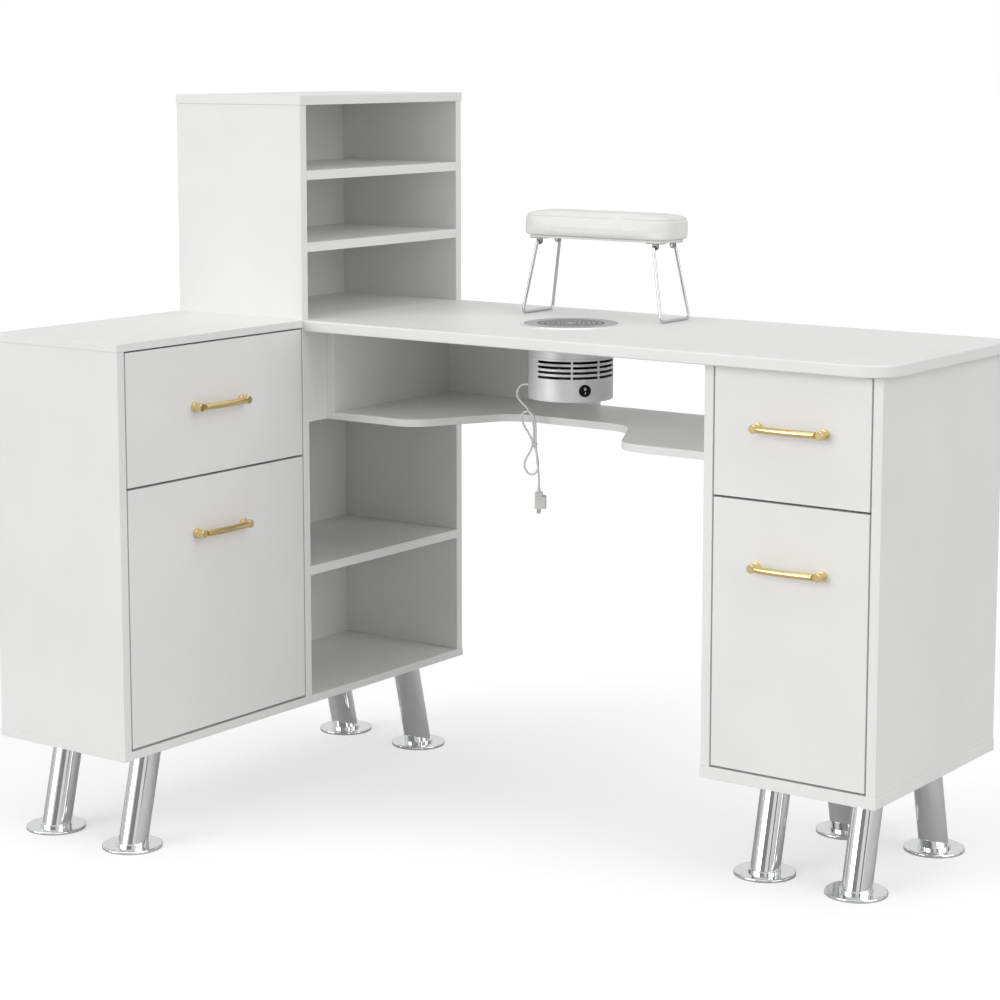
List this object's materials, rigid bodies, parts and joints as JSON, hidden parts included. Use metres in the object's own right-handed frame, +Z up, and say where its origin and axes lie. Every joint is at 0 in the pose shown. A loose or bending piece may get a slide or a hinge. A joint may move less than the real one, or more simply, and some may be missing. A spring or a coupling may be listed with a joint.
{
  "type": "manicure table",
  "caption": "Corner manicure desk with drawer cabinets, open shelf tower, round dust extractor in the top, padded hand rest and leaning chromed legs.",
  "frame": {"origin": "on the floor under the middle of the whole desk's bounding box", "axes": "+Z up, +X along the desktop from the tower to the right cabinet, +Y from the sitter's side to the customer's side"},
  "size_m": [1.308, 0.848, 1.144],
  "materials": {
    "white_board": "painted white board, satin, near-white",
    "white_front": "painted white drawer front, satin",
    "drawer_inside": "white melamine board, matt",
    "slide_steel": "zinc-plated steel, satin",
    "chrome_leg": "mirror chrome plate",
    "gold_handle": "brushed warm gold",
    "satin_silver": "satin silver paint",
    "grille_grey": "grey paint, satin",
    "filter_cloth": "pleated filter felt",
    "fan_plastic": "black moulded plastic",
    "motor_steel": "dark enamelled steel",
    "switch_plastic": "black moulded plastic",
    "cord_white": "white flexible PVC",
    "plug_white": "white moulded PVC",
    "prong_brass": "plain metal prongs",
    "cushion_vinyl": "white upholstery vinyl, soft sheen",
    "rest_board_wood": "board wrapped in white vinyl",
    "clip_steel": "dark bronze-coloured plated steel",
    "wire_chrome": "bright plated wire"
  },
  "bodies": {
    "table": {"bay_apron_panel": "white_board", "cord_gland": "cord_white", "cord_tie": "cord_white", "desk_back_panel": "white_board", "desk_side_panel": "white_board", "desktop": "white_board", "duct_collar": "satin_silver", "duct_shell": "satin_silver", "fan_motor": "motor_steel", "left_back_panel": "white_board", "left_base_panel": "white_board", "left_cap_panel": "white_board", "left_end_panel": "white_board", "left_slide_channels": "slide_steel", "left_unit_legs": "chrome_leg", "leg_mount_plates": "slide_steel", "leg_screws": "slide_steel", "open_bay_shelf": "white_board", "plug_body": "plug_white", "plug_prongs": "prong_brass", "power_cord": "cord_white", "right_back_panel": "white_board", "right_base_panel": "white_board", "right_cabinet_legs": "chrome_leg", "right_side_inner": "white_board", "right_side_outer": "white_board", "right_slide_channels": "slide_steel", "switch_bezel": "switch_plastic", "tall_back_panel": "white_board", "tall_side_far": "white_board", "tall_side_near": "white_board", "tower_floor_panel": "white_board", "tower_shelves": "white_board", "tower_top_panel": "white_board", "under_desk_shelf": "white_board"},
    "left_small_drawer": {"left_small_drawer_front": "white_front", "left_small_drawer_box": "drawer_inside", "left_small_drawer_handle": "gold_handle", "left_small_drawer_runners": "slide_steel"},
    "left_deep_drawer": {"left_deep_drawer_front": "white_front", "left_deep_drawer_box": "drawer_inside", "left_deep_drawer_handle": "gold_handle", "left_deep_drawer_runners": "slide_steel"},
    "right_small_drawer": {"right_small_drawer_front": "white_front", "right_small_drawer_box": "drawer_inside", "right_small_drawer_handle": "gold_handle", "right_small_drawer_runners": "slide_steel"},
    "right_deep_drawer": {"right_deep_drawer_front": "white_front", "right_deep_drawer_box": "drawer_inside", "right_deep_drawer_handle": "gold_handle", "right_deep_drawer_runners": "slide_steel"},
    "grille_lid": {"grille_cover": "grille_grey", "dust_filter": "filter_cloth"},
    "fan": {"fan_rotor": "fan_plastic"},
    "rocker": {"switch_rocker": "switch_plastic"},
    "hand_rest": {"rest_cushion": "cushion_vinyl", "rest_board": "rest_board_wood", "rest_hinge_clips": "clip_steel"},
    "hand_rest_leg_left": {"rest_leg_left": "wire_chrome"},
    "hand_rest_leg_right": {"rest_leg_right": "wire_chrome"}
  },
  "joints": [
    {"name": "left_small_drawer_slide", "type": "slide", "parent": "table", "child": "left_small_drawer", "axis": [1, 0, 0], "range_m": [0, 0.17]},
    {"name": "right_small_drawer_slide", "type": "slide", "parent": "table", "child": "right_small_drawer", "axis": [0, -1, 0], "range_m": [0, 0.25]},
    {"name": "left_deep_drawer_slide", "type": "slide", "parent": "table", "child": "left_deep_drawer", "axis": [1, 0, 0], "range_m": [0, 0.17]},
    {"name": "right_deep_drawer_slide", "type": "slide", "parent": "table", "child": "right_deep_drawer", "axis": [0, -1, 0], "range_m": [0, 0.25]},
    {"name": "grille_lift", "type": "slide", "parent": "table", "child": "grille_lid", "axis": [0, 0, 1], "range_m": [0, 0.04]},
    {"name": "fan_spin", "type": "hinge", "parent": "table", "child": "fan", "pos_m": [-0.005, 0.2005, 0.727], "axis": [0, 0, 1], "continuous": true},
    {"name": "rocker_press", "type": "hinge", "parent": "table", "child": "rocker", "pos_m": [0.04936, 0.15998, 0.6893], "axis": [0.5976, 0.8018, 0], "range_deg": [0, 16]},
    {"name": "hand_rest_lift", "type": "slide", "parent": "table", "child": "hand_rest", "axis": [0, 0, 1], "range_m": [0, 0.06]},
    {"name": "left_leg_fold", "type": "hinge", "parent": "hand_rest", "child": "hand_rest_leg_left", "pos_m": [-0.1374, 0.329, 0.9065], "axis": [0, -1, 0], "range_deg": [0, 101]},
    {"name": "right_leg_fold", "type": "hinge", "parent": "hand_rest", "child": "hand_rest_leg_right", "pos_m": [0.0862, 0.329, 0.9065], "axis": [0, 1, 0], "range_deg": [0, 92.5]}
  ],
  "couplings": [
    {"joint": "left_leg_fold", "follows": "hand_rest_lift", "rad_per_m": 29.234},
    {"joint": "right_leg_fold", "follows": "hand_rest_lift", "rad_per_m": 26.762}
  ]
}
